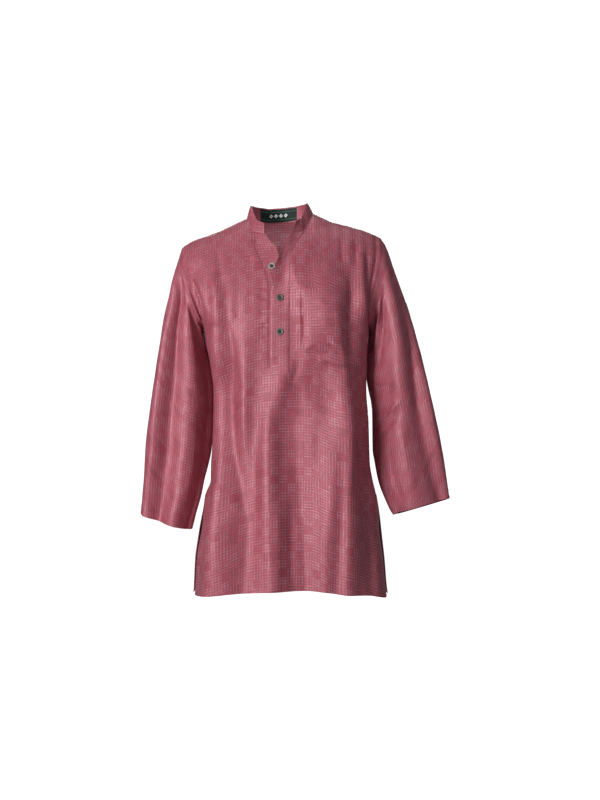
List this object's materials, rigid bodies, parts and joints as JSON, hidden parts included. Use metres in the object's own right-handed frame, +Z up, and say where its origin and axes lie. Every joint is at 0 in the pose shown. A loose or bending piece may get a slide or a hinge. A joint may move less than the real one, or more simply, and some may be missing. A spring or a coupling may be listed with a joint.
{
  "type": "kurta tunic worn hollow",
  "caption": "Long-sleeved kurta tunic held hollow in its worn shape, with a band collar, an open V neck over a half placket, a chest pocket and side slits.",
  "frame": {"origin": "middle of the neck hole at the height of the wearer's right neck point, where the shoulders carry the garment", "axes": "+Z up, the front faces -Y, +X is the wearer's left"},
  "size_m": [0.7282, 0.301, 0.9328],
  "materials": {
    "rose_cloth": "soft woven cloth of silk and cotton in dusty rose with a fine charcoal grid",
    "label_green": "woven satin label in very dark green",
    "horn_button": "half-polished dark grey-green imitation horn"
  },
  "bodies": {
    "root": {"front_panel": "rose_cloth", "back_panel": "rose_cloth", "sleeve_left": "rose_cloth", "sleeve_right": "rose_cloth", "collar_band": "rose_cloth", "placket_over": "rose_cloth", "placket_under": "rose_cloth", "chest_pocket": "rose_cloth", "neck_label": "label_green", "button_1": "horn_button", "button_2": "horn_button", "button_3": "horn_button"}
  },
  "joints": []
}
